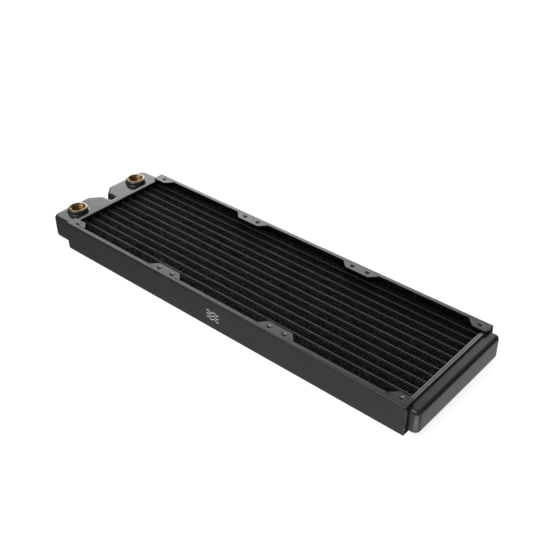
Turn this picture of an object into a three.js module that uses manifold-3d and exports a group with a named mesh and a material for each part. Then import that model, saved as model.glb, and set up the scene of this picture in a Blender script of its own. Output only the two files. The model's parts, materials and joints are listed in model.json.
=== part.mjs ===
// Slim liquid cooling radiator for a row of three 120 mm fans, as an assembly of its soldered pieces.
// Millimetres, +Z up. X runs along the radiator with the two ports at -X, and Y is across it.
// The origin is the middle of the overall outline, in the plane that the bottom flanges rest on.
import * as THREE from "three";
import { mergeVertices } from "three/addons/utils/BufferGeometryUtils.js";
import Module from "manifold-3d";

// Fan pattern: 120 mm fans side by side, with their screw holes on a 105 mm square.
const FAN_SIZE = 120;
const FAN_COUNT = 3;
const FAN_HOLE_SPACING = 105;
const FAN_HOLE_RADIUS = 1.75;
// The fan pattern sits this far towards the return tank from the middle of the channels.
const FAN_PATTERN_OFFSET = 0.9;

// Side channels: C-sections of bent sheet, open towards the core.
const HEIGHT = 27;
const WIDTH = 118;
const CHANNEL_LENGTH = 362;
const CHANNEL_SHEET = 1.2;
const BEND_RADIUS = 1.5;
// Where the flanges are joined to the bent section, in from the bend.
const FLANGE_JOIN = 1;
const LIP_WIDTH = 4.5;
const TAB_WIDTH = 11.5;
const TAB_RAMP = TAB_WIDTH - LIP_WIDTH;
const TAB_CREST_RADIUS = 2;
const TAB_FOOT_RADIUS = 4;
const PAIR_TAB_HALF_FLAT = 11.5;
const TAB_END_RADIUS = 1;
// Where the flat of a corner tab starts, out from the middle of the fan pattern.
const CORNER_TAB_START = 168;

// Core: flat tubes on edge, with a folded fin strip on both sides of each.
const TUBE_COUNT = 12;
const TUBE_PITCH = 8.9;
const TUBE_THICKNESS = 2;
const TUBE_DEPTH = 16;
const TUBE_WALL = 0.3;
const TUBE_LENGTH = 358;
const FIN_DEPTH = 15.4;
const FIN_FOLD = 4.5;
const FIN_SHEET = 0.5;

// Header plates: shallow pans with their rims pointing away from the core.
const HEADER_INNER_FACE = 176.6;
const HEADER_LENGTH = 3.7;
const HEADER_WIDTH = 115;
const HEADER_HEIGHT = 24;
const HEADER_WEB = 1.2;
const HEADER_RIM = 1;
const HEADER_CORNER = 3;

// Tanks: pressed shells whose open edges sit inside the header rims.
const TANK_WIDTH = 111.5;
const TANK_HEIGHT = 20.6;
const TANK_SHEET = 1.2;
const TANK_EDGE_RADIUS = 3;
const TANK_OPEN_EDGE = 178.2;
const TANK_OVERCUT = 8;
const PORTED_TANK_END = 206.6;
const PORTED_CORNER = 8;
const RETURN_TANK_END = 190.1;
const RETURN_CORNER = 5;
const NOTCH_MOUTH_HALF = 13;
const NOTCH_THROAT_HALF = 2;
const NOTCH_THROAT_DEPTH = 9.8;
const NOTCH_DEPTH = 20;
const NOTCH_MOUTH_RADIUS = 5;
const NOTCH_THROAT_RADIUS = 5;
const NOTCH_END_RADIUS = 1.9;

// Ports: G1/4 bushes standing on the ported tank.
const PORT_CENTRE = 193.2;
const PORT_HALF_SPACING = 35;
const PORT_BORE_RADIUS = 5.73;
const PORT_MOUTH_RADIUS = 6.8;
const PORT_COLLAR_RADIUS = 9.25;
const PORT_RIM_RADIUS = 8.75;
const PORT_SPIGOT_RADIUS = 7.8;
const PORT_RISE = 4.3;
const PORT_SPIGOT_LENGTH = 3;
const PORT_CHAMFER = 1;
const PORT_EDGE_BREAK = 0.5;
const PORT_SIDES = 20;

const DIVIDER_SHEET = 1.2;

// Gap between pieces that are soldered to each other.
const JOINT_GAP = 0.3;
const ARC_STEPS = 4;
const MIDDLE = HEIGHT / 2;
const TANK_TOP = MIDDLE + TANK_HEIGHT / 2;
const CHANNEL_INNER_FACE = WIDTH / 2 - CHANNEL_SHEET;

const ALONG_X = new THREE.Matrix4().makeBasis(
  new THREE.Vector3(0, 1, 0),
  new THREE.Vector3(0, 0, 1),
  new THREE.Vector3(1, 0, 0),
);

const wasm = await Module();
wasm.setup();

// Turns a closed geometry into a solid that can be joined and cut.
function solidFrom(geometry) {
  const bare = geometry.clone();
  bare.deleteAttribute("normal");
  bare.deleteAttribute("uv");
  const merged = mergeVertices(bare, 1e-4);
  const mesh = new wasm.Mesh({
    numProp: 3,
    vertProperties: new Float32Array(merged.attributes.position.array),
    triVerts: new Uint32Array(merged.index.array),
  });
  return new wasm.Manifold(mesh);
}

// Turns a solid back into a geometry.
function geometryFrom(solid) {
  const { vertProperties, triVerts } = solid.getMesh();
  const geometry = new THREE.BufferGeometry();
  geometry.setAttribute("position", new THREE.BufferAttribute(vertProperties, 3));
  geometry.setIndex(new THREE.BufferAttribute(triVerts, 1));
  geometry.computeVertexNormals();
  return geometry;
}

// A closed outline through corners given as [x, y, radius]: an arc at each, or a sharp corner at radius 0.
function roundedShape(corners) {
  const points = corners.flatMap(([x, y, radius], i) => {
    const corner = new THREE.Vector2(x, y);
    if (radius === 0) return corner;
    const back = new THREE.Vector2(...corners.at(i - 1)).sub(corner).normalize();
    const ahead = new THREE.Vector2(...corners[(i + 1) % corners.length]).sub(corner).normalize();
    const halfAngle = Math.acos(back.dot(ahead)) / 2;
    const centreRun = radius / Math.sin(halfAngle);
    const centre = back.clone().add(ahead).normalize().multiplyScalar(centreRun).add(corner);
    const tangentRun = radius / Math.tan(halfAngle);
    const spoke = back.clone().multiplyScalar(tangentRun).add(corner).sub(centre);
    const turn = Math.sign(ahead.cross(back)) * (Math.PI - 2 * halfAngle);
    return Array.from({ length: ARC_STEPS + 1 }, (_, step) => {
      const origin = new THREE.Vector2();
      return spoke.clone().rotateAround(origin, (turn * step) / ARC_STEPS).add(centre);
    });
  });
  return new THREE.Shape(points);
}

function roundedRectangle(halfWidth, halfHeight, radius) {
  return roundedShape([
    [-halfWidth, -halfHeight, radius],
    [halfWidth, -halfHeight, radius],
    [halfWidth, halfHeight, radius],
    [-halfWidth, halfHeight, radius],
  ]);
}

function plate(shape, thickness, bottom) {
  const geometry = new THREE.ExtrudeGeometry(shape, {
    depth: thickness,
    bevelEnabled: false,
    curveSegments: ARC_STEPS / 2,
  });
  return geometry.translate(0, 0, bottom);
}

// Extrudes a YZ section along X, from the given start.
function bar(section, length, start) {
  return plate(section, length, start).applyMatrix4(ALONG_X);
}

// One flange of a channel, with its hole tabs, for the rear channel.
function flangeShape() {
  const lipEdge = WIDTH / 2 - LIP_WIDTH;
  const tabEdge = WIDTH / 2 - TAB_WIDTH;
  const bendLine = WIDTH / 2 - BEND_RADIUS - FLANGE_JOIN;
  const end = CHANNEL_LENGTH / 2;
  const near = FAN_PATTERN_OFFSET - CORNER_TAB_START;
  const far = FAN_PATTERN_OFFSET + CORNER_TAB_START;
  const corners = [
    [-end, bendLine, 0],
    [-end, tabEdge, TAB_END_RADIUS],
    [near, tabEdge, TAB_CREST_RADIUS],
    [near + TAB_RAMP, lipEdge, TAB_FOOT_RADIUS],
  ];
  for (let joint = 1; joint < FAN_COUNT; joint += 1) {
    const centre = FAN_PATTERN_OFFSET + (joint - FAN_COUNT / 2) * FAN_SIZE;
    corners.push(
      [centre - PAIR_TAB_HALF_FLAT - TAB_RAMP, lipEdge, TAB_FOOT_RADIUS],
      [centre - PAIR_TAB_HALF_FLAT, tabEdge, TAB_CREST_RADIUS],
      [centre + PAIR_TAB_HALF_FLAT, tabEdge, TAB_CREST_RADIUS],
      [centre + PAIR_TAB_HALF_FLAT + TAB_RAMP, lipEdge, TAB_FOOT_RADIUS],
    );
  }
  corners.push(
    [far - TAB_RAMP, lipEdge, TAB_FOOT_RADIUS],
    [far, tabEdge, TAB_CREST_RADIUS],
    [end, tabEdge, TAB_END_RADIUS],
    [end, bendLine, 0],
  );
  const shape = roundedShape(corners);
  for (let fan = 0; fan < FAN_COUNT; fan += 1) {
    const fanCentre = FAN_PATTERN_OFFSET + (fan - (FAN_COUNT - 1) / 2) * FAN_SIZE;
    for (const side of [-1, 1]) {
      const hole = new THREE.Path();
      const x = fanCentre + (side * FAN_HOLE_SPACING) / 2;
      hole.absarc(x, FAN_HOLE_SPACING / 2, FAN_HOLE_RADIUS, 0, 2 * Math.PI, false);
      shape.holes.push(hole);
    }
  }
  return shape;
}

// The web of the rear channel with both bends and a short run of each flange.
function channelSection() {
  const flat = WIDTH / 2 - BEND_RADIUS - 2 * FLANGE_JOIN;
  const inner = CHANNEL_INNER_FACE;
  const outer = WIDTH / 2;
  const bend = BEND_RADIUS;
  const section = new THREE.Shape();
  section.moveTo(flat, 0);
  section.absarc(outer - bend, bend, bend, -Math.PI / 2, 0, false);
  section.absarc(outer - bend, HEIGHT - bend, bend, 0, Math.PI / 2, false);
  section.lineTo(flat, HEIGHT);
  section.lineTo(flat, HEIGHT - CHANNEL_SHEET);
  section.lineTo(inner, HEIGHT - CHANNEL_SHEET);
  section.lineTo(inner, CHANNEL_SHEET);
  section.lineTo(flat, CHANNEL_SHEET);
  section.closePath();
  return section;
}

function sideChannel() {
  const web = solidFrom(bar(channelSection(), CHANNEL_LENGTH, -CHANNEL_LENGTH / 2));
  const bottom = solidFrom(plate(flangeShape(), CHANNEL_SHEET, 0));
  const top = solidFrom(plate(flangeShape(), CHANNEL_SHEET, HEIGHT - CHANNEL_SHEET));
  return geometryFrom(web.add(bottom).add(top));
}

// A rounded bar across a YZ plane, used for the tubes and the slots that they pass through.
function stadium(halfThickness, halfDepth, y) {
  const shape = new THREE.Shape();
  const arm = halfDepth - halfThickness;
  shape.absarc(y, MIDDLE + arm, halfThickness, 0, Math.PI, false);
  shape.absarc(y, MIDDLE - arm, halfThickness, Math.PI, 2 * Math.PI, false);
  shape.closePath();
  return shape;
}

function tubeCentre(index) {
  return (index - (TUBE_COUNT - 1) / 2) * TUBE_PITCH;
}

function flatTube(index) {
  const y = tubeCentre(index);
  const section = stadium(TUBE_THICKNESS / 2, TUBE_DEPTH / 2, y);
  section.holes.push(stadium(TUBE_THICKNESS / 2 - TUBE_WALL, TUBE_DEPTH / 2 - TUBE_WALL, y));
  return bar(section, TUBE_LENGTH, -TUBE_LENGTH / 2);
}

// A folded strip that fills the space between y = low and y = high.
function finStrip(low, high) {
  const reach = HEADER_INNER_FACE - JOINT_GAP;
  const folds = Math.round((2 * reach) / FIN_FOLD);
  const half = FIN_SHEET / 2;
  const spine = Array.from({ length: folds + 1 }, (_, i) => {
    const x = -reach + (2 * reach * i) / folds;
    const y = i % 2 === 0 ? low + half : high - half;
    return new THREE.Vector2(x, y);
  });
  const upper = spine.map((point) => new THREE.Vector2(point.x, point.y + half));
  const lower = spine.map((point) => new THREE.Vector2(point.x, point.y - half));
  const shape = new THREE.Shape([...lower, ...upper.reverse()]);
  return plate(shape, FIN_DEPTH, MIDDLE - FIN_DEPTH / 2);
}

// Y limits of the space that a fin strip fills; the two outer strips reach a side channel.
function finLimits(index) {
  const wall = CHANNEL_INNER_FACE - JOINT_GAP;
  const clear = TUBE_THICKNESS / 2 + JOINT_GAP;
  const low = index === 0 ? -wall : tubeCentre(index - 1) + clear;
  const high = index === TUBE_COUNT ? wall : tubeCentre(index) - clear;
  return [low, high];
}

// Header plate at the +X end of the core: a slotted web inside an outward rim.
function headerPlate() {
  const outline = (inset) => {
    const rectangle = [HEADER_WIDTH / 2 - inset, HEADER_HEIGHT / 2 - inset, HEADER_CORNER - inset];
    return bar(roundedRectangle(...rectangle), HEADER_LENGTH + inset, HEADER_INNER_FACE);
  };
  const block = solidFrom(outline(0).translate(0, 0, MIDDLE));
  const pocket = solidFrom(outline(HEADER_RIM).translate(HEADER_WEB, 0, MIDDLE));
  let pan = block.subtract(pocket);
  for (let index = 0; index < TUBE_COUNT; index += 1) {
    const gap = JOINT_GAP;
    const slot = stadium(TUBE_THICKNESS / 2 + gap, TUBE_DEPTH / 2 + gap, tubeCentre(index));
    pan = pan.subtract(solidFrom(bar(slot, 4 * HEADER_WEB, HEADER_INNER_FACE - HEADER_WEB)));
  }
  return geometryFrom(pan);
}

// A tank's outer form, or with an inset its hollow, as a rounded block that runs past the open edge.
function tankBlock(outline, inset) {
  const edge = TANK_EDGE_RADIUS - inset;
  const geometry = new THREE.ExtrudeGeometry(outline, {
    depth: TANK_HEIGHT - 2 * TANK_EDGE_RADIUS,
    bevelThickness: edge,
    bevelSize: edge,
    bevelOffset: -TANK_EDGE_RADIUS,
    bevelSegments: 3,
  });
  return solidFrom(geometry.translate(0, 0, MIDDLE - TANK_HEIGHT / 2 + TANK_EDGE_RADIUS));
}

// A tank shell at the +X end, open towards the core.
function tankShell(outline) {
  const shell = tankBlock(outline, 0).subtract(tankBlock(outline, TANK_SHEET));
  const waste = new THREE.BoxGeometry(2 * TANK_OVERCUT, 2 * WIDTH, 2 * HEIGHT);
  return shell.subtract(solidFrom(waste.translate(TANK_OPEN_EDGE - TANK_OVERCUT, 0, MIDDLE)));
}

function returnTank() {
  const start = TANK_OPEN_EDGE - TANK_OVERCUT;
  const half = TANK_WIDTH / 2;
  const outline = roundedShape([
    [start, -half, RETURN_CORNER],
    [RETURN_TANK_END, -half, RETURN_CORNER],
    [RETURN_TANK_END, half, RETURN_CORNER],
    [start, half, RETURN_CORNER],
  ]);
  return geometryFrom(tankShell(outline));
}

// The ported tank has two lobes, with a notch between them that narrows to a round-ended slot.
function portedTank() {
  const start = TANK_OPEN_EDGE - TANK_OVERCUT;
  const half = TANK_WIDTH / 2;
  const end = PORTED_TANK_END;
  const slotEnd = end - NOTCH_DEPTH;
  const throat = end - NOTCH_THROAT_DEPTH;
  const outline = roundedShape([
    [start, -half, PORTED_CORNER],
    [end, -half, PORTED_CORNER],
    [end, -NOTCH_MOUTH_HALF, NOTCH_MOUTH_RADIUS],
    [throat, -NOTCH_THROAT_HALF, NOTCH_THROAT_RADIUS],
    [slotEnd, -NOTCH_THROAT_HALF, NOTCH_END_RADIUS],
    [slotEnd, NOTCH_THROAT_HALF, NOTCH_END_RADIUS],
    [throat, NOTCH_THROAT_HALF, NOTCH_THROAT_RADIUS],
    [end, NOTCH_MOUTH_HALF, NOTCH_MOUTH_RADIUS],
    [end, half, PORTED_CORNER],
    [start, half, PORTED_CORNER],
  ]);
  const holeRadius = PORT_SPIGOT_RADIUS + JOINT_GAP;
  const hole = new THREE.CylinderGeometry(holeRadius, holeRadius, HEIGHT, PORT_SIDES);
  hole.rotateX(Math.PI / 2);
  let shell = tankShell(outline);
  for (const side of [-1, 1]) {
    const place = [PORT_CENTRE, side * PORT_HALF_SPACING, TANK_TOP + HEIGHT / 2 - 2 * TANK_SHEET];
    shell = shell.subtract(solidFrom(hole.clone().translate(...place)));
  }
  return geometryFrom(shell);
}

// A port bush, with its origin on the bore axis in the plane of the tank's top.
function portBush() {
  const profile = [
    [PORT_BORE_RADIUS, -PORT_SPIGOT_LENGTH],
    [PORT_SPIGOT_RADIUS, -PORT_SPIGOT_LENGTH],
    [PORT_SPIGOT_RADIUS, JOINT_GAP],
    [PORT_COLLAR_RADIUS, JOINT_GAP],
    [PORT_COLLAR_RADIUS, PORT_RISE - PORT_EDGE_BREAK],
    [PORT_RIM_RADIUS, PORT_RISE],
    [PORT_MOUTH_RADIUS, PORT_RISE],
    [PORT_BORE_RADIUS, PORT_RISE - PORT_CHAMFER],
    [PORT_BORE_RADIUS, -PORT_SPIGOT_LENGTH],
  ];
  const points = profile.map(([radius, height]) => new THREE.Vector2(radius, height));
  return new THREE.LatheGeometry(points, PORT_SIDES).rotateX(Math.PI / 2);
}

// The baffle between the inlet half and the outlet half of the ported tank.
function tankDivider() {
  const slotWall = PORTED_TANK_END - NOTCH_DEPTH - TANK_SHEET - JOINT_GAP;
  const headerFace = HEADER_INNER_FACE + HEADER_WEB + JOINT_GAP;
  const halfHeight = TANK_HEIGHT / 2 - TANK_SHEET - JOINT_GAP;
  const cornerRadius = TANK_EDGE_RADIUS - TANK_SHEET;
  const outline = roundedShape([
    [headerFace, -halfHeight, 0],
    [slotWall, -halfHeight, cornerRadius],
    [slotWall, halfHeight, cornerRadius],
    [headerFace, halfHeight, 0],
  ]);
  const geometry = plate(outline, DIVIDER_SHEET, -DIVIDER_SHEET / 2).rotateX(Math.PI / 2);
  return geometry.translate(0, 0, MIDDLE);
}

const PAINT = { color: 0x2b2b2d, roughness: 0.42, metalness: 0.2 };
const CORE_PAINT = { color: 0x0d0d0e, roughness: 0.6, metalness: 0.3 };
const BRASS = { color: 0xc79a45, roughness: 0.28, metalness: 1 };

function piece(name, geometry, finish) {
  const mesh = new THREE.Mesh(geometry, new THREE.MeshStandardMaterial(finish));
  mesh.name = name;
  return mesh;
}

// Pieces made for the +X end are turned about Z to face -X.
function turned(mesh) {
  mesh.rotation.z = Math.PI;
  return mesh;
}

function numbered(stem, index) {
  return `${stem}_${String(index + 1).padStart(2, "0")}`;
}

const radiator = new THREE.Group();
const core = new THREE.Group();
core.position.x = (PORTED_TANK_END - RETURN_TANK_END) / 2;
radiator.add(core);

const frontChannel = piece("side_channel_front", sideChannel(), PAINT);
frontChannel.scale.y = -1;
core.add(frontChannel);
core.add(piece("side_channel_rear", sideChannel(), PAINT));
core.add(turned(piece("ported_header_plate", headerPlate(), PAINT)));
core.add(piece("return_header_plate", headerPlate(), PAINT));
core.add(turned(piece("ported_tank_shell", portedTank(), PAINT)));
core.add(piece("return_tank_shell", returnTank(), PAINT));
core.add(turned(piece("tank_divider", tankDivider(), BRASS)));

for (const [name, side] of [["port_bush_inlet", -1], ["port_bush_outlet", 1]]) {
  const bush = piece(name, portBush(), BRASS);
  bush.position.set(-PORT_CENTRE, side * PORT_HALF_SPACING, TANK_TOP);
  core.add(bush);
}
for (let index = 0; index < TUBE_COUNT; index += 1) {
  core.add(piece(numbered("flat_tube", index), flatTube(index), CORE_PAINT));
}
for (let index = 0; index <= TUBE_COUNT; index += 1) {
  core.add(piece(numbered("fin_strip", index), finStrip(...finLimits(index)), CORE_PAINT));
}

export default radiator;
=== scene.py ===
import json
import math

import bmesh
import bpy
from mathutils import Matrix, Vector


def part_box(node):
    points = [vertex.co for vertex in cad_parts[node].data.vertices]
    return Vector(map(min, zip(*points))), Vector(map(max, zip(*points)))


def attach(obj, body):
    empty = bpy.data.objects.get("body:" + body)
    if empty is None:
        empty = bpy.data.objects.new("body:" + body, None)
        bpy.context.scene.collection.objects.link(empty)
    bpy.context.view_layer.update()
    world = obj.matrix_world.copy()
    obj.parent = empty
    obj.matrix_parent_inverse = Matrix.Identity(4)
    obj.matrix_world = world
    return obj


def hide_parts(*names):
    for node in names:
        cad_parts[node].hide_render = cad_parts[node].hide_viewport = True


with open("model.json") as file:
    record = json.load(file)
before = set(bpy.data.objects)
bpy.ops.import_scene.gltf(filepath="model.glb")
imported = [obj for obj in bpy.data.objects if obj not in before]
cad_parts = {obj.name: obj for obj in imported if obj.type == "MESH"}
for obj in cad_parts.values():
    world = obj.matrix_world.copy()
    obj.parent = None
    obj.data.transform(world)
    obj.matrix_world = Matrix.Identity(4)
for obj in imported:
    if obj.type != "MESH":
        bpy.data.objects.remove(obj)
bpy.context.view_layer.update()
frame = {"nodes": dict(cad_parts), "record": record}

MM = 0.001

# Flat ring kept between a flat face and the rounding beside it, on rails and tanks
FLAT_MARGIN = 0.3

# Side rails
SHEET = 1.2
RAIL_BEND = 1.5
BEND_STEPS = 6
LIP_WIDTH = 4.5
TAB_WIDTH = 11.5
TAB_CREST_RADIUS = 2
TAB_FOOT_RADIUS = 4
TAB_END_RADIUS = 1
PAIR_TAB_HALF_FLAT = 11.5
CORNER_TAB_START = 168
RAIL_CORNER_CUT = 2
SHEET_EDGE = 0.2
SHEET_EDGE_SEGMENTS = 2
SHEET_EDGE_ANGLE = 50

# Fan pattern and its screw holes
FAN_SIZE = 120
FAN_COUNT = 3
FAN_HOLE_SPACING = 105
SCREW_MOUTH_RADIUS = 2.3
SCREW_MOUTH_DEPTH = 0.5
SCREW_RADIUS = 1.75
SCREW_COLLAR_RADIUS = 2.75
SCREW_COLLAR_DEPTH = 2.6
SCREW_PITCH = 0.7
SCREW_THREAD_DEPTH = 0.22
SCREW_SIDES = 24
SCREW_ROWS_PER_TURN = 6
SCREW_SINK = 0.05
COLLAR_TAPER = 0.25
COLLAR_OVERLAP = 0.1

# Tanks
TANK_EDGE_RADIUS = 3
TANK_OVERRUN = 13
PORTED_CORNER = 8
RETURN_CORNER = 5
NOTCH_MOUTH_HALF = 13
NOTCH_THROAT_HALF = 2
NOTCH_THROAT_DEPTH = 9.8
NOTCH_DEPTH = 20
NOTCH_BEND = 5
NOTCH_END_RADIUS = 1.9
EDGE_STEPS = 7
CORNER_STEPS = 8
LEAST_RADIUS = 0.02

# Header plates
HEADER_CORNER = 3
HEADER_WEB = 1.2
HEADER_RIM = 1
HEADER_FOOT = [(0.7, 0), (0.3, 0.1), (0.1, 0.3)]
HEADER_FOOT_TOP = 0.7
HEADER_TIP = [(0, 0.2), (0.06, 0.06), (0.2, 0)]
HEADER_TIP_EASE = 0.15
RETURN_FLARE = 0.2
PORTED_FLARE = 0
RETURN_SEAM_DEPTH = 0.14
PORTED_SEAM_DEPTH = 0.08
SEAM_HALF_WIDTH = 0.14
GUTTER_RECESS = 0.45
GUTTER_CLIMB = 0.25
GUTTER_EDGE = 0.1
GUTTER_FLOOR = 0.2
SOLDER_SIZE = 0.7
SOLDER_SKIN = 0.05

# Ports: G1/4 thread
PORT_THREAD_PITCH = 1.337
PORT_MINOR_RADIUS = 5.73
PORT_THREAD_DEPTH = 0.75
PORT_MOUTH_RADIUS = 6.95
PORT_MOUTH_DEPTH = 1.2
PORT_SIDES = 64
PORT_TANK_HOLE = 8.1
COLLAR_FILLET = 1.1
PORT_SHOULDER = 0.55
PORT_ROWS_PER_TURN = 10
PORT_FACE_EASE = [(-0.6, 0.0), (-0.25, -0.12), (-0.06, -0.36), (0, -0.7), (0, -1.2)]
PORT_FACE_INSET = 0.2
PORT_SHANK_RADIUS = 7.8
PORT_SHANK_TOP = -1.4
COLLAR_BORE = 7.9
COLLAR_BORE_TOP = -1.7
COLLAR_FIT = 0.02
COLLAR_TOP = [(0.02, -0.8), (0.2, -0.84), (0.42, -1.0)]
COLLAR_SHOULDER = [(-0.03, -1.2), (0, -1.5)]
COLLAR_FOOT = 0.1
COLLAR_LEDGE = -1.5
FILLET_STEPS = 4
FILLET_ROOT = 0.3

# Core. STADIUM is an end radius as a share of half the thickness.
STADIUM = 0.98
TUBE_WALL = 0.3
TUBE_SLIM = 0.3
SOLDER_SPREAD = 0.5
SOLDER_RISE = 0.24
STATIONS_PER_WALL = 3
FIN_WALL_PITCH = 1.4
FIN_SHEET = 0.14
FIN_CREST = 0.32
FIN_CREST_DROP = 0.22
FIN_FRAME = 1.3
FIN_SHIFT = 0.618
LOUVRES = 5
LOUVRE_TILT = 0.28
LOUVRE_MARGIN = 0.14
LOUVRE_TWIST = 0.08

# Printed mark
MARK_LENGTH = 13
MARK_WAVES = 2
MARK_SWING = 0.9
MARK_SPACING = 3.2
MARK_HALF_LINE = 0.55
MARK_PROUD = 0.03
MARK_SUNK = 0.02
MARK_STEPS = 48

# Camera and its place round the fan pattern
CAMERA_AZIMUTH = math.radians(41.07)
CAMERA_ELEVATION = math.radians(35.37)
CAMERA_ROLL = math.radians(-0.42)
CAMERA_DISTANCE = 726.1
CAMERA_LENS = 58.41
CAMERA_AIM = (12.3, 1.1)

# Surroundings: even light, what camera rays see on top of it, and three soft round patches. A patch is its
# direction, the cosines where it starts and where it is full, and its strength.
SKY_BASE = 0.3
SKY_SEEN = 1.05
SKY_KEY = ((-0.608, 0.778, 0.156), 0.80, 0.977, 4.3)
SKY_SHADE = ((0.66, 0.68, 0.30), 0.78, 0.97, 0.26)
SKY_FILL = ((-0.18, -0.45, 0.82), 0.875, 1.0, 3.6)

# Floor: its glow, the brightness of the painted reflection that glossy rays see in its place from -X to +X,
# and a painted pool of light in that reflection, which puts a highlight on the return tank's near corner
FLOOR_GLOW = 0.84
FLOOR_HALF_SIZE = 6
FLOOR_DROP = 0.1
FLOOR_IMAGE = (0.22, 0.64)
FLOOR_IMAGE_REACH = 0.22
FLOOR_POOL = (0.207, -0.068, 0)
FLOOR_POOL_RADIUS = 0.018
FLOOR_POOL_GLOW = 3


def box_mm(node):
    low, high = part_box(node)
    return low / MM, high / MM


def pattern_centre():
    """X of the middle of the fan pattern, from the mount on its last fan's nearer hole."""
    mounts = frame["record"]["mounts"]
    mount = next(m for m in mounts if m["name"] == "fan_face_top")
    return mount["pos_m"][0] / MM - FAN_SIZE / 2


# Outlines

def rounded_outline(corners, inset=0.0, steps=CORNER_STEPS):
    """Anticlockwise points through corners given as (x, y, radius), moved inwards by inset."""
    sides = []
    for i, corner in enumerate(corners):
        start = Vector(corner[:2])
        along = (Vector(corners[(i + 1) % len(corners)][:2]) - start).normalized()
        inward = Vector((-along.y, along.x))
        sides.append((start + inset * inward, along))
    points = []
    for i, corner in enumerate(corners):
        (here, before), (there, after) = sides[i - 1], sides[i]
        cross = before.x * after.y - before.y * after.x
        gap = there - here
        reach = (gap.x * after.y - gap.y * after.x) / cross
        meeting = here + reach * before
        turn = math.atan2(cross, before.dot(after))
        sense = math.copysign(1, turn)
        radius = max(corner[2] - sense * inset, LEAST_RADIUS)
        start = meeting - radius * math.tan(abs(turn) / 2) * before
        centre = start + sense * radius * Vector((-before.y, before.x))
        spoke = start - centre
        for step in range(steps + 1):
            points.append(centre + Matrix.Rotation(turn * step / steps, 2) @ spoke)
    return points


def circle(centre, radius, sides):
    turns = [2 * math.pi * i / sides for i in range(sides)]
    return [(centre[0] + radius * math.cos(a), centre[1] + radius * math.sin(a)) for a in turns]


def slab_outline(half_width, half_height, radius):
    """A rectangle about the origin with rounded corners."""
    return [
        (-half_width, -half_height, radius),
        (half_width, -half_height, radius),
        (half_width, half_height, radius),
        (-half_width, half_height, radius),
    ]


# Mesh building

def ring(bm, points):
    return [bm.verts.new(p) for p in points]


def bridge(bm, first, second):
    """Quads between two rings of equal length."""
    for i in range(len(first)):
        bm.faces.new((first[i - 1], first[i], second[i], second[i - 1])).smooth = True


def loft(bm, rings):
    rows = [ring(bm, points) for points in rings]
    for first, second in zip(rows, rows[1:]):
        bridge(bm, first, second)
    return rows


def edges_of(bm, loop):
    found = []
    for i in range(len(loop)):
        edge = bm.edges.get((loop[i - 1], loop[i]))
        found.append(edge or bm.edges.new((loop[i - 1], loop[i])))
    return found


def fill(bm, outline, holes=()):
    """Fills a flat face inside an outline, round any holes."""
    edges = edges_of(bm, outline)
    for hole in holes:
        edges += edges_of(bm, hole)
    bmesh.ops.triangle_fill(bm, use_beauty=True, edges=edges)


def face_outwards(bm, axis):
    """Makes the normals agree, with the face furthest along axis looking that way."""
    bmesh.ops.recalc_face_normals(bm, faces=bm.faces[:])
    direction = Vector(axis)

    def reach(face):
        return round(face.calc_center_median().dot(direction), 3), face.calc_area()

    furthest = max(bm.faces, key=reach)
    if furthest.normal.dot(direction) < 0:
        bmesh.ops.reverse_faces(bm, faces=bm.faces[:])


def lathe(bm, radius_at, heights, sides, centre=(0, 0)):
    """A turned wall whose radius depends on the height's index and the angle."""
    rows = []
    for index, height in enumerate(heights):
        row = []
        for side in range(sides):
            angle = 2 * math.pi * side / sides
            radius = radius_at(index, angle)
            x = centre[0] + radius * math.cos(angle)
            y = centre[1] + radius * math.sin(angle)
            row.append(bm.verts.new((x, y, height)))
        rows.append(row)
    for first, second in zip(rows, rows[1:]):
        bridge(bm, first, second)
    return rows


def turned_ring(bm, profile, sides):
    """A closed turned ring from (radius, height) points."""
    closed = [*profile, profile[0]]
    rows = lathe(bm, lambda i, _: closed[i][0], [p[1] for p in closed], sides)
    bmesh.ops.remove_doubles(bm, verts=rows[0] + rows[-1], dist=1e-6)


def thread_radius(minor, depth, pitch, height, angle):
    """Radius of an internal thread with rounded crests."""
    phase = height / pitch - angle / (2 * math.pi)
    return minor + depth * (0.5 - 0.5 * math.cos(2 * math.pi * phase))


def make_piece(name, bm, material, nodes=(), origin=(0, 0, 0), keep_angle=35, flat_fills=False):
    """Turns a bmesh into a named piece that rides on the root body, all smooth or with its fills flat."""
    bmesh.ops.scale(bm, vec=(MM, MM, MM), verts=bm.verts[:])
    mesh = bpy.data.meshes.new(name)
    smooth = [face.smooth or not flat_fills for face in bm.faces]
    bm.to_mesh(mesh)
    bm.free()
    mesh.set_sharp_from_angle(angle=math.radians(keep_angle))
    mesh.polygons.foreach_set("use_smooth", smooth)
    mesh.materials.append(material)
    piece = bpy.data.objects.new(name, mesh)
    piece.location = Vector(origin) * MM
    bpy.context.scene.collection.objects.link(piece)
    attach(piece, "root")
    if nodes:
        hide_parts(*nodes)
    return piece


def thicken(piece, thickness, offset=-1):
    modifier = piece.modifiers.new("sheet", "SOLIDIFY")
    modifier.thickness = thickness * MM
    modifier.offset = offset
    modifier.use_even_offset = True


def soften(piece, width):
    modifier = piece.modifiers.new("edges", "BEVEL")
    modifier.width = width * MM
    modifier.segments = SHEET_EDGE_SEGMENTS
    modifier.limit_method = "ANGLE"
    modifier.angle_limit = math.radians(SHEET_EDGE_ANGLE)
    modifier.use_clamp_overlap = False
    modifier.harden_normals = False
    modifier.face_strength_mode = "FSTR_ALL"


def keep_flats(piece):
    modifier = piece.modifiers.new("flats", "WEIGHTED_NORMAL")
    modifier.keep_sharp = True
    modifier.weight = 100
    modifier.use_face_influence = True


# Materials

def new_material(name):
    material = bpy.data.materials.new(name)
    material.use_nodes = True
    tree = material.node_tree
    shader = tree.nodes["Principled BSDF"]
    coordinates = tree.nodes.new("ShaderNodeTexCoord").outputs["Object"]
    return material, tree, shader, coordinates


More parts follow.
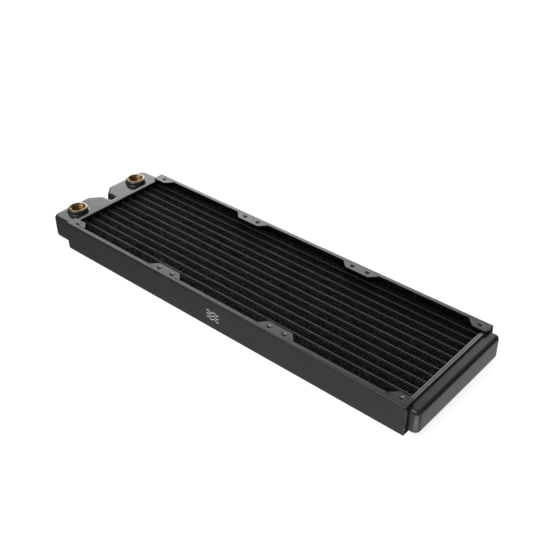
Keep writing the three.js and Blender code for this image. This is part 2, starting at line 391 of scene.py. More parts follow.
def noise_node(tree, coordinates, scale, detail=2.0, roughness=0.5):
    node = tree.nodes.new("ShaderNodeTexNoise")
    node.inputs["Scale"].default_value = scale
    node.inputs["Detail"].default_value = detail
    node.inputs["Roughness"].default_value = roughness
    tree.links.new(coordinates, node.inputs["Vector"])
    return node.outputs["Fac"]


def remap(tree, value, low, high, start=0.3, end=0.7):
    node = tree.nodes.new("ShaderNodeMapRange")
    node.inputs["From Min"].default_value = start
    node.inputs["From Max"].default_value = end
    node.inputs["To Min"].default_value = low
    node.inputs["To Max"].default_value = high
    tree.links.new(value, node.inputs["Value"])
    return node.outputs["Result"]


def blend_colours(tree, factor, first, second):
    node = tree.nodes.new("ShaderNodeMix")
    node.data_type = "RGBA"
    for socket, colour in ((node.inputs[6], first), (node.inputs[7], second)):
        if isinstance(colour, bpy.types.NodeSocket):
            tree.links.new(colour, socket)
        else:
            socket.default_value = (*colour, 1)
    tree.links.new(factor, node.inputs[0])
    return node.outputs[2]


def bump(tree, height, strength, distance):
    node = tree.nodes.new("ShaderNodeBump")
    node.inputs["Strength"].default_value = strength
    node.inputs["Distance"].default_value = distance
    tree.links.new(height, node.inputs["Height"])
    return node.outputs["Normal"]


def paint(name, dark, light, gloss, matt, peel_scale, specular=0.5, relief=0.35):
    """Satin paint on metal: slow changes of tone, fine orange peel and a few dull patches."""
    material, tree, shader, coordinates = new_material(name)
    slow = noise_node(tree, coordinates, 35, 4, 0.6)
    speck = noise_node(tree, coordinates, 1800, 2, 0.6)
    tone = blend_colours(tree, remap(tree, slow, 0, 1), dark, light)
    flecked = blend_colours(tree, remap(tree, speck, 0, 0.5, 0.62, 0.8), tone, [3 * c for c in light])
    tree.links.new(flecked, shader.inputs["Base Color"])
    patch = noise_node(tree, coordinates, 120, 3, 0.55)
    tree.links.new(remap(tree, patch, gloss, matt), shader.inputs["Roughness"])
    peel = noise_node(tree, coordinates, peel_scale, 3, 0.6)
    tree.links.new(bump(tree, peel, relief, 0.00004), shader.inputs["Normal"])
    shader.inputs["Specular IOR Level"].default_value = specular
    return material


def brass():
    """Turned brass: fine rings about the bore, bright on the face and browner down the thread."""
    material, tree, shader, coordinates = new_material("turned_brass")
    split = tree.nodes.new("ShaderNodeSeparateXYZ")
    tree.links.new(coordinates, split.inputs["Vector"])
    depth = remap(tree, split.outputs["Z"], 1, 0, -0.004, -0.0004)
    patch = noise_node(tree, coordinates, 700, 4, 0.6)
    face = blend_colours(tree, remap(tree, patch, 0, 1), (0.18, 0.147, 0.09), (0.25, 0.205, 0.13))
    inner = blend_colours(tree, remap(tree, patch, 0, 1), (0.30, 0.13, 0.045), (0.55, 0.29, 0.10))
    tree.links.new(blend_colours(tree, depth, face, inner), shader.inputs["Base Color"])
    tree.links.new(remap(tree, patch, 0.18, 0.3), shader.inputs["Roughness"])
    flat = tree.nodes.new("ShaderNodeVectorMath")
    flat.operation = "MULTIPLY"
    flat.inputs[1].default_value = (1, 1, 0)
    tree.links.new(coordinates, flat.inputs[0])
    rings = tree.nodes.new("ShaderNodeTexWave")
    rings.wave_type = "RINGS"
    rings.rings_direction = "SPHERICAL"
    rings.inputs["Scale"].default_value = 1600
    rings.inputs["Distortion"].default_value = 0.4
    tree.links.new(flat.outputs["Vector"], rings.inputs["Vector"])
    tree.links.new(bump(tree, rings.outputs["Fac"], 0.2, 0.00002), shader.inputs["Normal"])
    shader.inputs["Metallic"].default_value = 1
    return material


def cut_metal():
    """Bare metal where a thread was cut through the paint."""
    material, tree, shader, coordinates = new_material("cut_metal")
    scratch = noise_node(tree, coordinates, 1400, 3, 0.6)
    tree.links.new(
        blend_colours(tree, remap(tree, scratch, 0, 1), (0.11, 0.11, 0.11), (0.34, 0.34, 0.33)),
        shader.inputs["Base Color"],
    )
    tree.links.new(remap(tree, scratch, 0.25, 0.4), shader.inputs["Roughness"])
    tree.links.new(bump(tree, scratch, 0.3, 0.00005), shader.inputs["Normal"])
    shader.inputs["Metallic"].default_value = 0.9
    return material


def solder():
    """Painted solder: the paint over lumpy metal."""
    material, tree, shader, coordinates = new_material("painted_solder")
    lump = noise_node(tree, coordinates, 900, 3, 0.5)
    tree.links.new(
        blend_colours(tree, remap(tree, lump, 0, 1), (0.012, 0.012, 0.013), (0.04, 0.04, 0.042)),
        shader.inputs["Base Color"],
    )
    tree.links.new(remap(tree, lump, 0.3, 0.5), shader.inputs["Roughness"])
    tree.links.new(bump(tree, lump, 0.6, 0.0002), shader.inputs["Normal"])
    return material


def print_ink():
    """Pale grey screen print."""
    material, tree, shader, coordinates = new_material("pale_print")
    grain = noise_node(tree, coordinates, 3000, 2, 0.6)
    tree.links.new(
        blend_colours(tree, remap(tree, grain, 0, 1), (0.42, 0.42, 0.42), (0.58, 0.58, 0.58)),
        shader.inputs["Base Color"],
    )
    tree.links.new(remap(tree, grain, 0.45, 0.6), shader.inputs["Roughness"])
    return material


HOUSING = paint("satin_black_paint", (0.011, 0.011, 0.0115), (0.018, 0.018, 0.0185), 0.17, 0.24, 2600)
COLLAR = paint("gloss_black_paint", (0.022, 0.022, 0.022), (0.034, 0.034, 0.034), 0.22, 0.32, 2600, 0.8)
TUBE_PAINT = paint("tube_paint", (0.006, 0.006, 0.0065), (0.018, 0.018, 0.019), 0.26, 0.44, 1500, 0.32, 0.6)
FIN_PAINT = paint("fin_paint", (0.005, 0.005, 0.0053), (0.010, 0.010, 0.0105), 0.45, 0.6, 1500, 0.2)
BRASS = brass()
CUT_METAL = cut_metal()
SOLDER = solder()
INK = print_ink()


# Side rails

def flange_corners(start, end, half_width):
    """Outline of a flange with its hole tabs, closed along the outside of the rail."""
    middle = pattern_centre()
    lip = half_width - LIP_WIDTH
    tab = half_width - TAB_WIDTH
    ramp = TAB_WIDTH - LIP_WIDTH
    corners = [
        (start, tab, TAB_END_RADIUS),
        (middle - CORNER_TAB_START, tab, TAB_CREST_RADIUS),
        (middle - CORNER_TAB_START + ramp, lip, TAB_FOOT_RADIUS),
    ]
    for joint in range(1, FAN_COUNT):
        centre = middle + (joint - FAN_COUNT / 2) * FAN_SIZE
        corners += [
            (centre - PAIR_TAB_HALF_FLAT - ramp, lip, TAB_FOOT_RADIUS),
            (centre - PAIR_TAB_HALF_FLAT, tab, TAB_CREST_RADIUS),
            (centre + PAIR_TAB_HALF_FLAT, tab, TAB_CREST_RADIUS),
            (centre + PAIR_TAB_HALF_FLAT + ramp, lip, TAB_FOOT_RADIUS),
        ]
    corners += [
        (middle + CORNER_TAB_START - ramp, lip, TAB_FOOT_RADIUS),
        (middle + CORNER_TAB_START, tab, TAB_CREST_RADIUS),
        (end, tab, TAB_END_RADIUS),
        (end, half_width, 0),
        (start, half_width, 0),
    ]
    return corners


def screw_places():
    """X of the six screw holes of one flange."""
    middle = pattern_centre()
    places = []
    for fan in range(FAN_COUNT):
        centre = middle + (fan - (FAN_COUNT - 1) / 2) * FAN_SIZE
        places += [centre - FAN_HOLE_SPACING / 2, centre + FAN_HOLE_SPACING / 2]
    return places


def rail_sheet(bm, start, end, half_width, height):
    """Outer surface of the rear rail as one sheet: flange, bend, web, bend, flange."""
    flat_edge = half_width - RAIL_BEND - FLAT_MARGIN
    rows = [(flat_edge, height)]
    for step in range(BEND_STEPS + 1):
        angle = math.pi / 2 * step / BEND_STEPS
        y = half_width - RAIL_BEND + RAIL_BEND * math.sin(angle)
        rows.append((y, height - RAIL_BEND + RAIL_BEND * math.cos(angle)))
    rows += [(y, height - z) for y, z in reversed(rows)]
    grid = [[bm.verts.new((x, y, z)) for x in (start, end)] for y, z in rows]
    for (a, b), (c, d) in zip(grid, grid[1:]):
        bm.faces.new((a, b, d, c))
    outline = rounded_outline(flange_corners(start, end, half_width))
    inner = [p for p in outline if p.y < flat_edge - 1e-6]
    for z, bend_row in ((height, grid[0]), (0, grid[-1])):
        flange = ring(bm, [(p.x, p.y, z) for p in inner])
        holes = []
        for place in screw_places():
            mouth = circle((place, FAN_HOLE_SPACING / 2), SCREW_MOUTH_RADIUS, SCREW_SIDES)
            holes.append(ring(bm, [(x, y, z) for x, y in mouth]))
        fill(bm, [*flange, bend_row[1], bend_row[0]], holes)


def screw_thread(bm, place, z, sense):
    """A threaded collar drawn from the sheet, going down (sense -1) or up (sense 1) from height z."""
    centre = (place, FAN_HOLE_SPACING / 2)
    mouth = SCREW_MOUTH_DEPTH
    minor = SCREW_RADIUS - SCREW_THREAD_DEPTH
    rows = int((SCREW_COLLAR_DEPTH - mouth) / SCREW_PITCH * SCREW_ROWS_PER_TURN)
    depths = [0, mouth] + [mouth + (i + 1) * SCREW_PITCH / SCREW_ROWS_PER_TURN for i in range(rows)]

    def inner(index, angle):
        if index == 0:
            return SCREW_MOUTH_RADIUS
        return thread_radius(minor, SCREW_THREAD_DEPTH, SCREW_PITCH, depths[index], angle)

    def outside(index, _):
        return SCREW_COLLAR_RADIUS - COLLAR_TAPER * (1 - index)

    wall = lathe(bm, inner, [z + sense * d for d in depths], SCREW_SIDES, centre)
    outer_depths = [depths[-1], SHEET - COLLAR_OVERLAP]
    outer = lathe(bm, outside, [z + sense * d for d in outer_depths], SCREW_SIDES, centre)
    bridge(bm, wall[-1], outer[0])
    bridge(bm, outer[-1], wall[0])


def mirrored(bm):
    bmesh.ops.scale(bm, vec=(1, -1, 1), verts=bm.verts[:])
    bmesh.ops.reverse_faces(bm, faces=bm.faces[:])


def side_rail(name, node, rear):
    low, high = box_mm(node)
    half_width = high.y if rear else -low.y
    bm = bmesh.new()
    rail_sheet(bm, low.x, high.x, half_width, high.z)
    cut = Vector((low.x + RAIL_CORNER_CUT, 0, 0))
    geometry = bm.verts[:] + bm.edges[:] + bm.faces[:]
    bmesh.ops.bisect_plane(bm, geom=geometry, plane_co=cut, plane_no=(1, 0, 1), clear_inner=True)
    face_outwards(bm, (0, 1, 0))
    if not rear:
        mirrored(bm)
    piece = make_piece(name, bm, HOUSING, [node])
    thicken(piece, SHEET)
    soften(piece, SHEET_EDGE)
    keep_flats(piece)
    threads = bmesh.new()
    for place in screw_places():
        screw_thread(threads, place, high.z - SCREW_SINK, -1)
        screw_thread(threads, place, SCREW_SINK, 1)
    bmesh.ops.recalc_face_normals(threads, faces=threads.faces[:])
    if not rear:
        mirrored(threads)
    make_piece(name + "_screw_threads", threads, CUT_METAL, keep_angle=60)


# Tanks

def tank_rings(corners, low, high):
    """Outlines up the wall of a tank with its rounded edges, from a margin of its flat faces."""
    rings = [(rounded_outline(corners, TANK_EDGE_RADIUS + FLAT_MARGIN), 0)]
    for step in range(EDGE_STEPS + 1):
        angle = math.pi / 2 * step / EDGE_STEPS
        inset = TANK_EDGE_RADIUS * (1 - math.sin(angle))
        rise = TANK_EDGE_RADIUS * (1 - math.cos(angle))
        rings.append((rounded_outline(corners, inset), rise))
    lower = [[(p.x, p.y, low + rise) for p in points] for points, rise in rings]
    upper = [[(p.x, p.y, high - rise) for p in points] for points, rise in reversed(rings)]
    return lower + upper


def tank(name, node, end_sign, corners_of, holes=()):
    """A pressed tank, made with its closed end along +X and turned about Z for the other end."""
    low, high = box_mm(node)
    end = high.x if end_sign > 0 else -low.x
    mouth = low.x if end_sign > 0 else -high.x
    bm = bmesh.new()
    rows = loft(bm, tank_rings(corners_of(mouth - TANK_OVERRUN, end, high.y), low.z, high.z))
    openings = [
        ring(bm, [(x, y, high.z) for x, y in circle(hole, PORT_TANK_HOLE, PORT_SIDES)]) for hole in holes
    ]
    fill(bm, rows[0])
    fill(bm, rows[-1], openings)
    geometry = bm.verts[:] + bm.edges[:] + bm.faces[:]
    bmesh.ops.bisect_plane(bm, geom=geometry, plane_co=(mouth, 0, 0), plane_no=(1, 0, 0), clear_inner=True)
    face_outwards(bm, (0, 0, 1))
    if end_sign < 0:
        bmesh.ops.rotate(bm, cent=(0, 0, 0), matrix=Matrix.Rotation(math.pi, 3, "Z"), verts=bm.verts[:])
    piece = make_piece(name, bm, HOUSING, [node], flat_fills=True)
    thicken(piece, SHEET)
    keep_flats(piece)


def return_corners(start, end, half):
    return [
        (start, -half, RETURN_CORNER),
        (end, -half, RETURN_CORNER),
        (end, half, RETURN_CORNER),
        (start, half, RETURN_CORNER),
    ]


def ported_corners(start, end, half):
    """Two lobes, with a notch between them that narrows to a round-ended slot."""
    throat = end - NOTCH_THROAT_DEPTH
    slot_end = end - NOTCH_DEPTH
    return [
        (start, -half, PORTED_CORNER),
        (end, -half, PORTED_CORNER),
        (end, -NOTCH_MOUTH_HALF, NOTCH_BEND),
        (throat, -NOTCH_THROAT_HALF, NOTCH_BEND),
        (slot_end, -NOTCH_THROAT_HALF, NOTCH_END_RADIUS),
        (slot_end, NOTCH_THROAT_HALF, NOTCH_END_RADIUS),
        (throat, NOTCH_THROAT_HALF, NOTCH_BEND),
        (end, NOTCH_MOUTH_HALF, NOTCH_BEND),
        (end, half, PORTED_CORNER),
        (start, half, PORTED_CORNER),
    ]


# Header plates

def slot_rings(bm, x, grow):
    """One stadium ring for each tube where it passes a plane across X."""
    rings = []
    for node in TUBES:
        low, high = box_mm(node)
        middle_y = (low.y + high.y) / 2
        middle_z = (low.z + high.z) / 2
        half = (high.y - low.y) / 2 + grow
        depth = (high.z - low.z) / 2 + grow
        outline = rounded_outline(slab_outline(half, depth, STADIUM * half), steps=4)
        rings.append(ring(bm, [(x, middle_y + p.x, middle_z + p.y) for p in outline]))
    return rings


def header_plate(name, node, end_sign, seam_depth, flare):
    """A pan with its rim turned away from the core, a seam round the rim, and a slot for each tube."""
    low, high = box_mm(node)
    face = low.x if end_sign > 0 else high.x
    length = high.x - low.x
    middle = (low.z + high.z) / 2
    corners = slab_outline(high.y, (high.z - low.z) / 2, HEADER_CORNER)
    seam = length / 2
    slope = flare / length
    before_seam, after_seam = seam - SEAM_HALF_WIDTH, seam + SEAM_HALF_WIDTH
    profile = [(inset + flare, out) for inset, out in HEADER_FOOT]
    profile += [(flare - slope * out, out) for out in (HEADER_FOOT_TOP, before_seam)]
    profile += [(flare - slope * seam + seam_depth, seam), (flare - slope * after_seam, after_seam)]
    profile += [(inset, length - back) for inset, back in HEADER_TIP]
    profile += [(HEADER_RIM - HEADER_TIP_EASE, length), (HEADER_RIM, length - HEADER_TIP_EASE)]
    profile += [(HEADER_RIM, HEADER_WEB)]
    bm = bmesh.new()
    rings = []
    for inset, out in profile:
        outline = rounded_outline(corners, inset)
        rings.append([(face + end_sign * out, p.x, middle + p.y) for p in outline])
    rows = loft(bm, rings)
    near = slot_rings(bm, face, 0)
    far = slot_rings(bm, face + end_sign * HEADER_WEB, 0)
    for first, second in zip(near, far):
        bridge(bm, first, second)
    fill(bm, rows[0], near)
    fill(bm, rows[-1], far)
    face_outwards(bm, (end_sign, 0, 0))
    piece = make_piece(name, bm, HOUSING, [node], keep_angle=50)
    keep_flats(piece)
    beads = bmesh.new()
    for out, grow in ((0, SOLDER_SIZE), (0.3 * SOLDER_SIZE, 0.3 * SOLDER_SIZE), (SOLDER_SIZE, 0.02)):
        rings = slot_rings(beads, face - end_sign * out, grow)
        if out:
            for first, second in zip(before, rings):
                bridge(beads, first, second)
        before = rings
    bmesh.ops.recalc_face_normals(beads, faces=beads.faces[:])
    bead = make_piece(name + "_solder", beads, SOLDER, keep_angle=80)
    thicken(bead, SOLDER_SKIN)


def gutter_solder(name, header_node, tank_node, end_sign):
    """Solder that fills the gutter between a header's rim and the tank that stands in it."""
    header_low, header_high = box_mm(header_node)
    tank_low, tank_high = box_mm(tank_node)
    rim_face = header_high.x if end_sign > 0 else header_low.x
    middle = (header_low.z + header_high.z) / 2
    half_height = (header_high.z - header_low.z) / 2
    rim = (header_high.y - HEADER_RIM, half_height - HEADER_RIM, HEADER_CORNER - HEADER_RIM)
    wall = (tank_high.y, (tank_high.z - tank_low.z) / 2, TANK_EDGE_RADIUS)
    halfway = [(a + b) / 2 for a, b in zip(rim, wall)]
    deep = HEADER_WEB + GUTTER_FLOOR - (header_high.x - header_low.x)
    profile = [(rim, -GUTTER_EDGE), (halfway, -GUTTER_RECESS), (wall, GUTTER_CLIMB)]
    profile += [(wall, deep), (rim, deep), (rim, -GUTTER_EDGE)]
    bm = bmesh.new()
    rings = []
    for outline, out in profile:
        points = rounded_outline(slab_outline(*outline))
        rings.append([(rim_face + end_sign * out, p.x, middle + p.y) for p in points])
    rows = loft(bm, rings)
    bmesh.ops.remove_doubles(bm, verts=rows[0] + rows[-1], dist=1e-6)
    bmesh.ops.recalc_face_normals(bm, faces=bm.faces[:])
    make_piece(name, bm, HOUSING, keep_angle=70)


# Ports

def port_bush(stem, node):
    """A bush with a real thread and a bare face, in a painted collar with a soldered foot."""
    low, high = box_mm(node)
    centre = (low + high) / 2
    origin = (centre.x, centre.y, high.z)
    collar = (high.x - low.x) / 2
    rim = collar - PORT_SHOULDER
    depth = high.z - low.z
    rows = int((depth - PORT_MOUTH_DEPTH) / PORT_THREAD_PITCH * PORT_ROWS_PER_TURN)
    heights = [0, -PORT_MOUTH_DEPTH]
    heights += [-PORT_MOUTH_DEPTH - (i + 1) * PORT_THREAD_PITCH / PORT_ROWS_PER_TURN for i in range(rows)]

    def inner(index, angle):
        if index == 0:
            return PORT_MOUTH_RADIUS
        return thread_radius(PORT_MINOR_RADIUS, PORT_THREAD_DEPTH, PORT_THREAD_PITCH, heights[index], angle)

    bm = bmesh.new()
    wall = lathe(bm, inner, heights, PORT_SIDES)
    outside = [(PORT_MOUTH_RADIUS + PORT_FACE_INSET, 0.0)]
    outside += [(rim + step, z) for step, z in PORT_FACE_EASE]
    outside += [(PORT_SHANK_RADIUS, PORT_SHANK_TOP), (PORT_SHANK_RADIUS, heights[-1])]
    shell = lathe(bm, lambda i, _: outside[i][0], [p[1] for p in outside], PORT_SIDES)
    bridge(bm, wall[0], shell[0])
    bridge(bm, wall[-1], shell[-1])
    bmesh.ops.recalc_face_normals(bm, faces=bm.faces[:])
    make_piece(stem + "_bush", bm, BRASS, [node], origin, keep_angle=50)

    foot = TANK_TOP - high.z
    painted = bmesh.new()
    profile = [(rim + step, z) for step, z in COLLAR_TOP]
    profile += [(collar + step, z) for step, z in COLLAR_SHOULDER]
    profile += [(collar, foot + COLLAR_FOOT), (COLLAR_BORE, foot + COLLAR_FOOT)]
    profile += [(COLLAR_BORE, COLLAR_BORE_TOP), (rim + COLLAR_FIT, COLLAR_LEDGE)]
    turned_ring(painted, profile, PORT_SIDES)
    bmesh.ops.recalc_face_normals(painted, faces=painted.faces[:])
    make_piece(stem + "_collar", painted, COLLAR, origin=origin, keep_angle=50)

    fillet = bmesh.new()
    curve = []
    for step in range(FILLET_STEPS + 1):
        angle = math.pi / 2 * step / FILLET_STEPS
        radius = collar + COLLAR_FILLET * (1 - math.sin(angle))
        curve.append((radius, foot + COLLAR_FILLET * (1 - math.cos(angle))))
    root = collar - FILLET_ROOT
    turned_ring(fillet, [*curve, (root, foot + COLLAR_FILLET), (root, foot)], PORT_SIDES)
    bmesh.ops.recalc_face_normals(fillet, faces=fillet.faces[:])
    make_piece(stem + "_solder", fillet, HOUSING, origin=origin, keep_angle=80)


# Core

def fin_layout(node):
    """X of a strip's first crest, the distance between its walls and their number.

    Each strip starts at its own place along the core.
    """
    low, high = box_mm(node)
    room = high.x - low.x - 2 * FIN_CREST
    pitch = room / round(room / FIN_WALL_PITCH)
    shift = 2 * pitch * (FINS.index(node) * FIN_SHIFT % 1)
    return low.x + FIN_CREST + shift, pitch, int((room - shift) / pitch)


def crest_solder(x, layout, beyond):
    """How full the solder is at x beside a strip, from 0 to 1: it peaks where a crest of the strip lands."""
    start, pitch, _ = layout
    phase = (x - start) / pitch + (0 if beyond else 1)
    return (0.5 + 0.5 * math.cos(math.pi * phase)) ** 3


def flat_tube(node):
    """A flat tube with round edges, lumpy where solder has run up at the fin crests on its two sides."""
    low, high = box_mm(node)
    middle_y = (low.y + high.y) / 2
    middle_z = (low.z + high.z) / 2
    half = (high.y - low.y) / 2
    depth = (high.z - low.z) / 2
    place = TUBES.index(node)
    before, beyond = fin_layout(FINS[place]), fin_layout(FINS[place + 1])
    stations = round((high.x - low.x) / FIN_WALL_PITCH * STATIONS_PER_WALL)
    bm = bmesh.new()
    outline = rounded_outline(slab_outline(half, depth - SOLDER_RISE, STADIUM * half), TUBE_SLIM, steps=3)
    rings = []
    for station in range(stations + 1):
        x = low.x + (high.x - low.x) * station / stations
        full = (crest_solder(x, before, False), crest_solder(x, beyond, True))
        points = []
        for p in outline:
            share = 0.5 + 0.5 * p.x / (half - TUBE_SLIM)
            y = p.x + SOLDER_SPREAD * (full[1] * share ** 2 - full[0] * (1 - share) ** 2)
            rise = SOLDER_RISE * (full[0] * (1 - share) + full[1] * share)
            points.append((x, middle_y + y, middle_z + p.y + math.copysign(rise, p.y)))
        rings.append(points)
    outer = loft(bm, rings)
    bore_size = slab_outline(half, depth - SOLDER_RISE, STADIUM * half)
    bore = rounded_outline(bore_size, TUBE_SLIM + TUBE_WALL, steps=3)
    inner = loft(bm, [[(x, middle_y + p.x, middle_z + p.y) for p in bore] for x in (low.x, high.x)])
    bridge(bm, outer[0], inner[0])
    bridge(bm, outer[-1], inner[-1])
    bmesh.ops.recalc_face_normals(bm, faces=bm.faces[:])
    make_piece(node.replace("flat_tube", "tube"), bm, TUBE_PAINT, [node], keep_angle=60)


def fin_wall(start, end, low_z, high_z):
    """Vertices and faces of one fin wall between two crests: a frame round louvres that tilt about Y."""
    along = end - start
    normal = Vector((along.y, -along.x)).normalized()
    twisted = LOUVRE_MARGIN + LOUVRE_TWIST
    columns = [LOUVRE_MARGIN, twisted, 1 - twisted, 1 - LOUVRE_MARGIN]
    bottom = low_z + FIN_FRAME
    top = high_z - FIN_FRAME
    step = (top - bottom) / LOUVRES
    vertices = []
    faces = []

    def patch(places, heights, tilts):
        base = len(vertices)
        for z, tilt in zip(heights, tilts):
            for i, place in enumerate(places):
                lean = tilt if 0 < i < len(places) - 1 else 0
                point = start + place * along + lean * normal
                vertices.append((point.x, point.y, z))
        width = len(places)
        for i in range(width - 1):
            faces.append((base + i, base + i + 1, base + width + i + 1, base + width + i))

    patch([0, columns[0]], (low_z, high_z), (0, 0))
    patch([columns[-1], 1], (low_z, high_z), (0, 0))
    patch([columns[0], columns[-1]], (low_z, bottom), (0, 0))
    patch([columns[0], columns[-1]], (top, high_z), (0, 0))
    for louvre in range(LOUVRES):
        tilt = LOUVRE_TILT if louvre < LOUVRES / 2 else -LOUVRE_TILT
        patch(columns, (bottom + louvre * step, bottom + (louvre + 1) * step), (-tilt, tilt))
    return vertices, faces


def fin_strip(node):
    """A folded strip with two flats over each crest, and louvred walls between crests."""
    low, high = box_mm(node)
    first_crest, pitch, count = fin_layout(node)
    vertices = []
    faces = []

    def add(new_vertices, new_faces):
        base = len(vertices)
        vertices.extend(new_vertices)
        faces.extend(tuple(base + i for i in face) for face in new_faces)

    for wall in range(count):
        x = first_crest + wall * pitch
        first, last = (low.y, high.y) if wall % 2 == 0 else (high.y, low.y)
        rise = math.copysign(FIN_CREST_DROP, last - first)
        start = Vector((x + FIN_CREST, first + rise))
        end = Vector((x + pitch - FIN_CREST, last - rise))
        crests = ((Vector((x, first)), start), (end, Vector((x + pitch, last))))
        for a, b in crests:
            corners = [(a.x, a.y, low.z), (b.x, b.y, low.z), (b.x, b.y, high.z), (a.x, a.y, high.z)]
            add(corners, [(0, 1, 2, 3)])
        add(*fin_wall(start, end, low.z, high.z))
    mesh = bpy.data.meshes.new(node)
    mesh.from_pydata([tuple(c * MM for c in v) for v in vertices], [], faces)
    bm = bmesh.new()
    bm.from_mesh(mesh)
    bpy.data.meshes.remove(mesh)
    bmesh.ops.remove_doubles(bm, verts=bm.verts[:], dist=1e-7)
    bmesh.ops.scale(bm, vec=(1 / MM,) * 3, verts=bm.verts[:])
    piece = make_piece(node.replace("fin_strip", "fins"), bm, FIN_PAINT, [node], keep_angle=40)
    thicken(piece, FIN_SHEET, 0)


# Generic printed mark on the front web: three waves

def wave_mark():
    low, high = box_mm("side_channel_front")
    centre_x = (low.x + high.x) / 2
    middle = (low.z + high.z) / 2
    front = low.y - MARK_PROUD
    back = low.y + MARK_SUNK
    bm = bmesh.new()
    for row in (-1, 0, 1):
        rings = []
        for step in range(MARK_STEPS + 1):
            x = centre_x + MARK_LENGTH * (step / MARK_STEPS - 0.5)
            swing = MARK_SWING * math.sin(2 * MARK_WAVES * math.pi * step / MARK_STEPS)
            z = middle + row * MARK_SPACING + swing
            bottom, top = z - MARK_HALF_LINE, z + MARK_HALF_LINE
            rings.append([(x, front, bottom), (x, back, bottom), (x, back, top), (x, front, top)])
        rows = loft(bm, rings)
        bm.faces.new(rows[0])
        bm.faces.new(rows[-1])
    bmesh.ops.recalc_face_normals(bm, faces=bm.faces[:])
    make_piece("printed_wave_mark", bm, INK)


def build():
    side_rail("rail_front", "side_channel_front", False)
    side_rail("rail_rear", "side_channel_rear", True)
    tank("return_tank", "return_tank_shell", 1, return_corners)
    ports = ("port_bush_inlet", "port_bush_outlet")
    holes = []
    for node in ports:
        low, high = box_mm(node)
        holes.append((-(low.x + high.x) / 2, -(low.y + high.y) / 2))
    tank("ported_tank", "ported_tank_shell", -1, ported_corners, holes)
    header_plate("return_header", "return_header_plate", 1, RETURN_SEAM_DEPTH, RETURN_FLARE)
    header_plate("ported_header", "ported_header_plate", -1, PORTED_SEAM_DEPTH, PORTED_FLARE)
    gutter_solder("return_gutter_solder", "return_header_plate", "return_tank_shell", 1)
    gutter_solder("ported_gutter_solder", "ported_header_plate", "ported_tank_shell", -1)
    port_bush("inlet", ports[0])
    port_bush("outlet", ports[1])
    for node in TUBES:
        flat_tube(node)
    for node in FINS:
        fin_strip(node)
    divider = frame["nodes"]["tank_divider"]
    for material_slot in divider.material_slots:
        material_slot.material = SOLDER
    wave_mark()


def camera():
    back = Vector((
        math.sin(CAMERA_AZIMUTH) * math.cos(CAMERA_ELEVATION),
        -math.cos(CAMERA_AZIMUTH) * math.cos(CAMERA_ELEVATION),
        math.sin(CAMERA_ELEVATION),
    ))
    level = Vector((0, 0, 1)).cross(back).normalized()
    above = back.cross(level)
    right = math.cos(CAMERA_ROLL) * level + math.sin(CAMERA_ROLL) * above
    up = back.cross(right)
    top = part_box("side_channel_front")[1].z / MM
    aim = Vector((pattern_centre() + CAMERA_AIM[0], CAMERA_AIM[1], top))
    data = bpy.data.cameras.new("camera")
    data.lens = CAMERA_LENS
    data.sensor_width = 36
    data.clip_start = 0.01
    view = bpy.data.objects.new("camera", data)
    turn = Matrix((right, up, back)).transposed().to_4x4()
    view.matrix_world = Matrix.Translation((aim + CAMERA_DISTANCE * back) * MM) @ turn
    bpy.context.scene.collection.objects.link(view)
    bpy.context.scene.camera = view


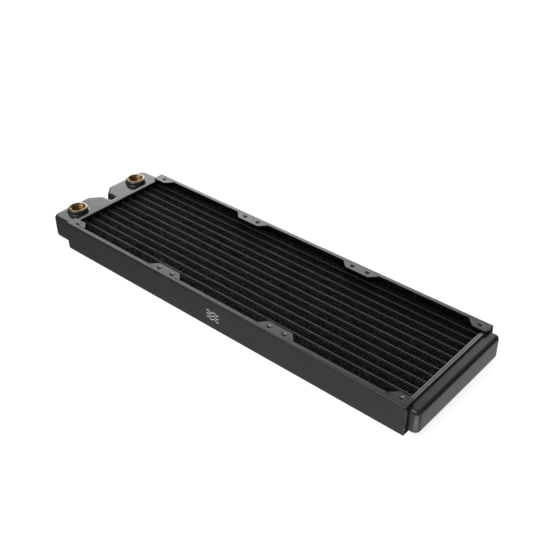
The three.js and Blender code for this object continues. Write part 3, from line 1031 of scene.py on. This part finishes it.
def floor():
    """A pale floor that glows a little, so that shadows stay faint.

    Glossy rays see a painted reflection in its place: dimmer, brighter towards +X and with a painted pool of
    light at one place, which puts a highlight on the return tank's near corner.
    """
    bm = bmesh.new()
    bmesh.ops.create_grid(bm, x_segments=8, y_segments=8, size=FLOOR_HALF_SIZE)
    mesh = bpy.data.meshes.new("floor")
    bm.to_mesh(mesh)
    bm.free()
    plane = bpy.data.objects.new("floor", mesh)
    plane.location.z = -FLOOR_DROP * MM
    bpy.context.scene.collection.objects.link(plane)
    material, tree, shader, coordinates = new_material("pale_floor")
    cloud = noise_node(tree, coordinates, 2, 2)
    tree.links.new(
        blend_colours(tree, remap(tree, cloud, 0, 1), (0.40, 0.40, 0.40), (0.42, 0.42, 0.42)),
        shader.inputs["Base Color"],
    )
    shader.inputs["Roughness"].default_value = 0.9
    shader.inputs["Specular IOR Level"].default_value = 0
    shader.inputs["Emission Color"].default_value = (1, 1, 1, 1)
    shader.inputs["Emission Strength"].default_value = FLOOR_GLOW
    split = tree.nodes.new("ShaderNodeSeparateXYZ")
    tree.links.new(coordinates, split.inputs["Vector"])
    # Painted reflection: glossy rays see this glow instead of the floor
    painted_reflection_glow = tree.nodes.new("ShaderNodeEmission")
    reach = tree.nodes.new("ShaderNodeVectorMath")
    reach.operation = "DISTANCE"
    reach.inputs[1].default_value = FLOOR_POOL
    tree.links.new(coordinates, reach.inputs[0])
    # Painted pool of light in that reflection, seen only in gloss
    pool = remap(tree, reach.outputs["Value"], FLOOR_POOL_GLOW, 0, 0, FLOOR_POOL_RADIUS)
    slope = remap(tree, split.outputs["X"], *FLOOR_IMAGE, -FLOOR_IMAGE_REACH, FLOOR_IMAGE_REACH)
    painted_reflection_strength = add_numbers(tree, slope, pool)
    tree.links.new(painted_reflection_strength, painted_reflection_glow.inputs["Strength"])
    rays = tree.nodes.new("ShaderNodeLightPath")
    choose = tree.nodes.new("ShaderNodeMixShader")
    tree.links.new(rays.outputs["Is Glossy Ray"], choose.inputs["Fac"])
    tree.links.new(shader.outputs["BSDF"], choose.inputs[1])
    tree.links.new(painted_reflection_glow.outputs["Emission"], choose.inputs[2])
    tree.links.new(choose.outputs["Shader"], tree.nodes["Material Output"].inputs["Surface"])
    mesh.materials.append(material)


def lobe(tree, direction, start, end, strength):
    """A soft round patch of the sky about a direction, as a number."""
    coordinates = tree.nodes.new("ShaderNodeTexCoord")
    dot = tree.nodes.new("ShaderNodeVectorMath")
    dot.operation = "DOT_PRODUCT"
    dot.inputs[1].default_value = Vector(direction).normalized()
    tree.links.new(coordinates.outputs["Generated"], dot.inputs[0])
    spread = tree.nodes.new("ShaderNodeMapRange")
    spread.interpolation_type = "SMOOTHSTEP"
    spread.inputs["From Min"].default_value = start
    spread.inputs["From Max"].default_value = end
    spread.inputs["To Max"].default_value = strength
    tree.links.new(dot.outputs["Value"], spread.inputs["Value"])
    return spread.outputs["Result"]


def add_numbers(tree, first, second, operation="ADD"):
    node = tree.nodes.new("ShaderNodeMath")
    node.operation = operation
    for socket, value in zip(node.inputs, (first, second)):
        if isinstance(value, bpy.types.NodeSocket):
            tree.links.new(value, socket)
        else:
            socket.default_value = value
    return node.outputs["Value"]


def sky():
    """Soft surroundings: a wide low source at the back left, a dark side at the back right and a fill."""
    world = bpy.data.worlds.new("studio")
    world.use_nodes = True
    bpy.context.scene.world = world
    tree = world.node_tree
    key = lobe(tree, *SKY_KEY)
    shade = lobe(tree, *SKY_SHADE)
    fill_in = lobe(tree, *SKY_FILL)
    bright = add_numbers(tree, add_numbers(tree, key, SKY_BASE), fill_in)
    light = add_numbers(tree, bright, shade, "SUBTRACT")
    seen = tree.nodes.new("ShaderNodeLightPath").outputs["Is Camera Ray"]
    tree.links.new(
        add_numbers(tree, light, add_numbers(tree, seen, SKY_SEEN, "MULTIPLY")),
        tree.nodes["Background"].inputs["Strength"],
    )
    tree.nodes["Background"].inputs["Color"].default_value = (1, 1, 1, 1)


TUBES = sorted(n for n in frame["nodes"] if n.startswith("flat_tube"))
FINS = sorted(n for n in frame["nodes"] if n.startswith("fin_strip"))
TANK_TOP = box_mm("ported_tank_shell")[1].z

bpy.context.scene.view_settings.view_transform = "Standard"
camera()
floor()
sky()
build()
